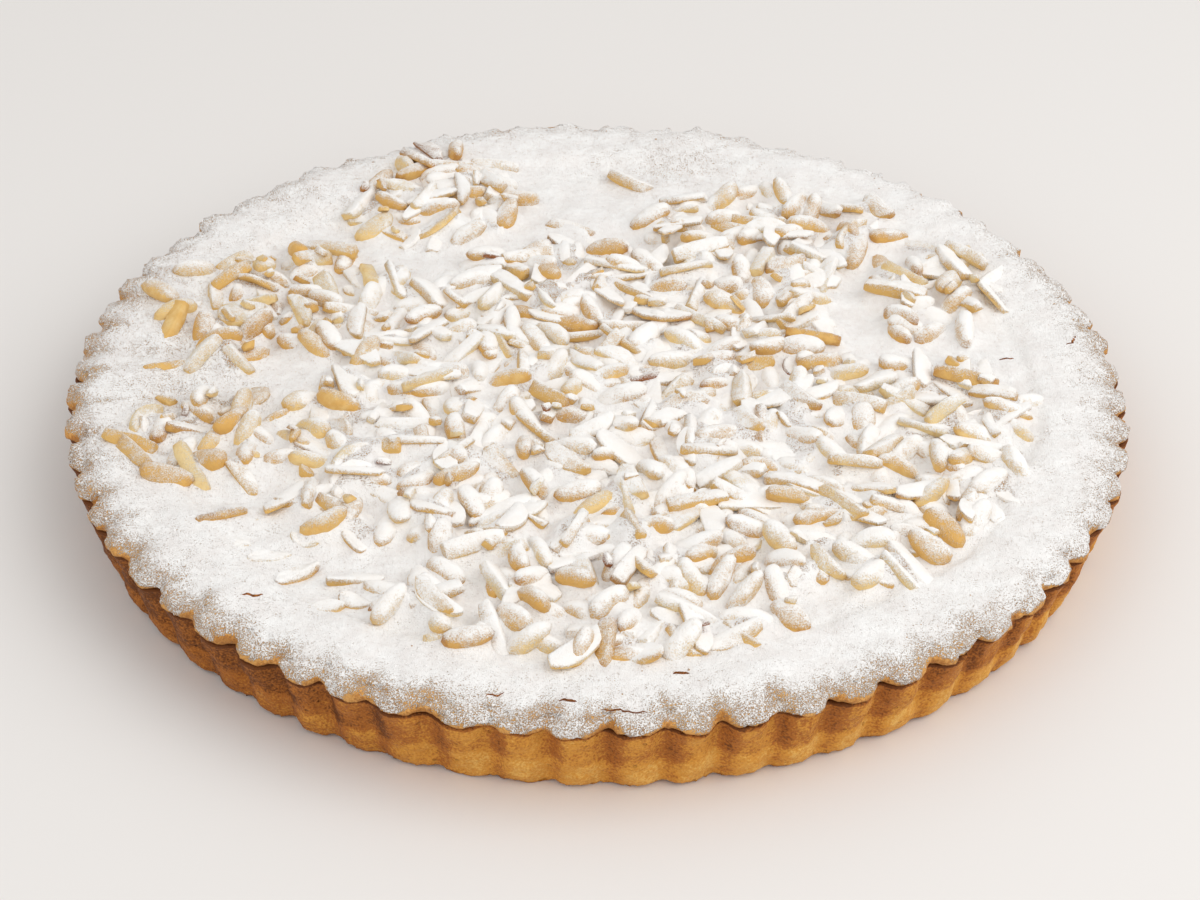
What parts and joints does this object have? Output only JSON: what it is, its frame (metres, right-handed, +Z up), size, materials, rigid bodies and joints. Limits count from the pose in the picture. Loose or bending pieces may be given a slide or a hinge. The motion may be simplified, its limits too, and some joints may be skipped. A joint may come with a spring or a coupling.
{
  "type": "tart",
  "caption": "Whole round fluted shortcrust tart with a pressed pastry lid, pine nuts and almonds on top under a thick dusting of icing sugar.",
  "frame": {"origin": "centre of the tart's flat base, on the surface that it stands on", "axes": "+Z up through the middle of the tart, +X to the viewer's right and +Y away from the side that the picture shows"},
  "size_m": [0.2795, 0.2796, 0.0313],
  "materials": {
    "baked_shortcrust": "matte, dry and slightly sandy",
    "sugared_shortcrust": "matte, powdery",
    "pine_nut": "matte, powdered on top",
    "almond": "matte, powdered on top"
  },
  "bodies": {
    "root": {"pastry_case": "baked_shortcrust", "pastry_lid": "sugared_shortcrust"}
  },
  "joints": []
}
